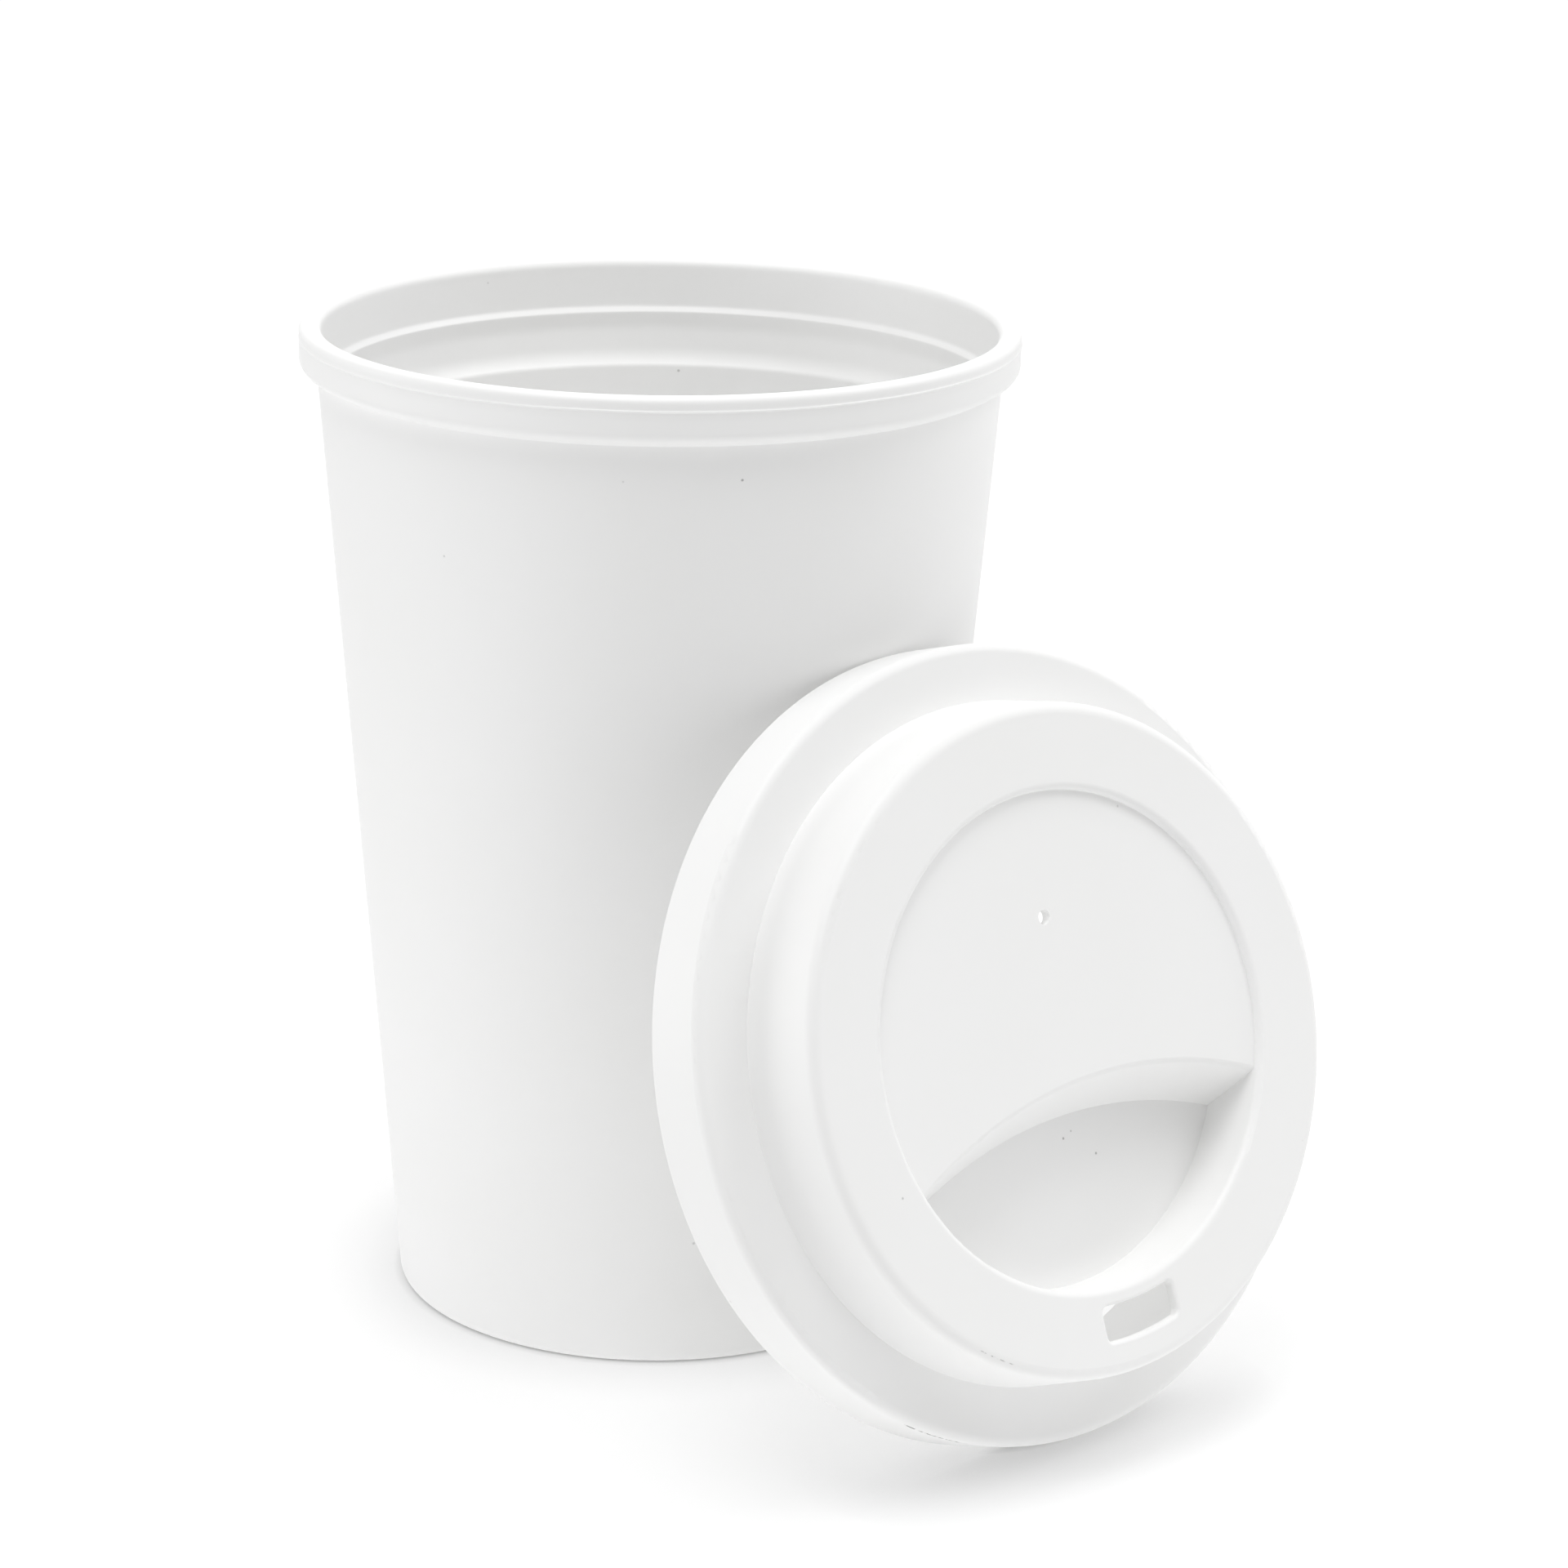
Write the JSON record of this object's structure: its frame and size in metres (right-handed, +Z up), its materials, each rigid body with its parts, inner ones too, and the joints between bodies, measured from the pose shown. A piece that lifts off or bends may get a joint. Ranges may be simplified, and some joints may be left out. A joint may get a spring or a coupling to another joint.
{
  "type": "reusable cup",
  "caption": "Tapered white drinking cup with a thick rim band, and its domed sip lid taken off and leaning on the wall.",
  "frame": {"origin": "centre of the cup's base, on the surface it stands on", "axes": "+Z up along the cup's axis; the lid leans on the cup on the +X, -Y side, with its open edge towards the cup"},
  "size_m": [0.1272, 0.1265, 0.1265],
  "materials": {
    "cup_plastic": "satin",
    "lid_plastic": "matte"
  },
  "bodies": {
    "root": {"cup": "cup_plastic", "lid": "lid_plastic"}
  },
  "joints": []
}
